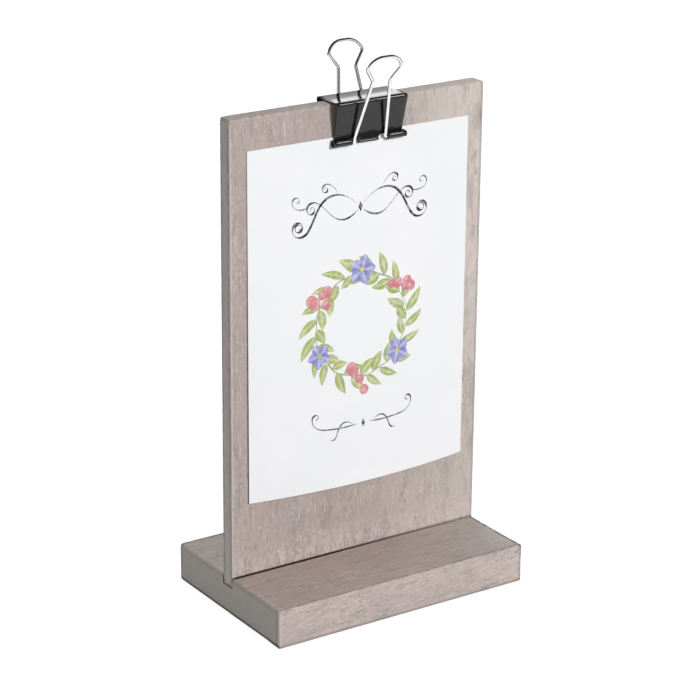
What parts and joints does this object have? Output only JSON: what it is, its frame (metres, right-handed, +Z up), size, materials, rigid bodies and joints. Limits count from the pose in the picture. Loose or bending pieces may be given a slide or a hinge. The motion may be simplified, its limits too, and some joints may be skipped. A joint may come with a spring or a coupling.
{
  "type": "clip sign holder",
  "caption": "Wooden table-top sign holder: a board stands in a grooved base, and a spring clip with wire handles hangs a card on it.",
  "frame": {"origin": "centre of the base's underside", "axes": "+Z up, -Y towards the reader of the card, +X to the reader's right"},
  "size_m": [0.146, 0.095, 0.2785],
  "materials": {
    "base_wood": "grey-washed grain, matt",
    "board_wood": "grey-washed grain, matt",
    "screw_steel": "zinc plated",
    "card_paper": "smooth matt card, printed",
    "clip_black": "gloss black enamel",
    "handle_wire": "bright nickel plate"
  },
  "bodies": {
    "stand": {"base_block": "base_wood", "upright_board": "board_wood", "base_screw_left": "screw_steel", "base_screw_right": "screw_steel"},
    "card": {"sign_card": "card_paper"},
    "clip": {"clip_spine": "clip_black"},
    "front_jaw": {"clip_front_jaw": "clip_black"},
    "rear_jaw": {"clip_rear_jaw": "clip_black"},
    "front_handle": {"clip_front_handle": "handle_wire"},
    "rear_handle": {"clip_rear_handle": "handle_wire"}
  },
  "joints": [
    {"name": "card_slide", "type": "slide", "parent": "stand", "child": "card", "axis": [0, 0, -1], "range_m": [0, 0.03]},
    {"name": "clip_lift", "type": "slide", "parent": "stand", "child": "clip", "axis": [0, 0, 1], "range_m": [0, 0.03]},
    {"name": "front_jaw_flex", "type": "hinge", "parent": "clip", "child": "front_jaw", "pos_m": [0.0038, -0.00788, 0.25268], "axis": [-1, 0, 0], "range_deg": [0, 15], "stiffness_Nm_per_rad": 0.12, "springref_deg": -11.46},
    {"name": "rear_jaw_flex", "type": "hinge", "parent": "clip", "child": "rear_jaw", "pos_m": [0.0038, 0.00732, 0.25268], "axis": [1, 0, 0], "range_deg": [0, 15], "stiffness_Nm_per_rad": 0.12, "springref_deg": -11.46},
    {"name": "front_handle_fold", "type": "hinge", "parent": "front_jaw", "child": "front_handle", "pos_m": [0.0038, -0.00665, 0.23378], "axis": [1, 0, 0], "range_deg": [-5, 158]},
    {"name": "rear_handle_fold", "type": "hinge", "parent": "rear_jaw", "child": "rear_handle", "pos_m": [0.0038, 0.0061, 0.23378], "axis": [-1, 0, 0], "range_deg": [0, 165.5]}
  ],
  "couplings": [
    {"joint": "rear_jaw_flex", "follows": "front_jaw_flex", "ratio": 1}
  ]
}
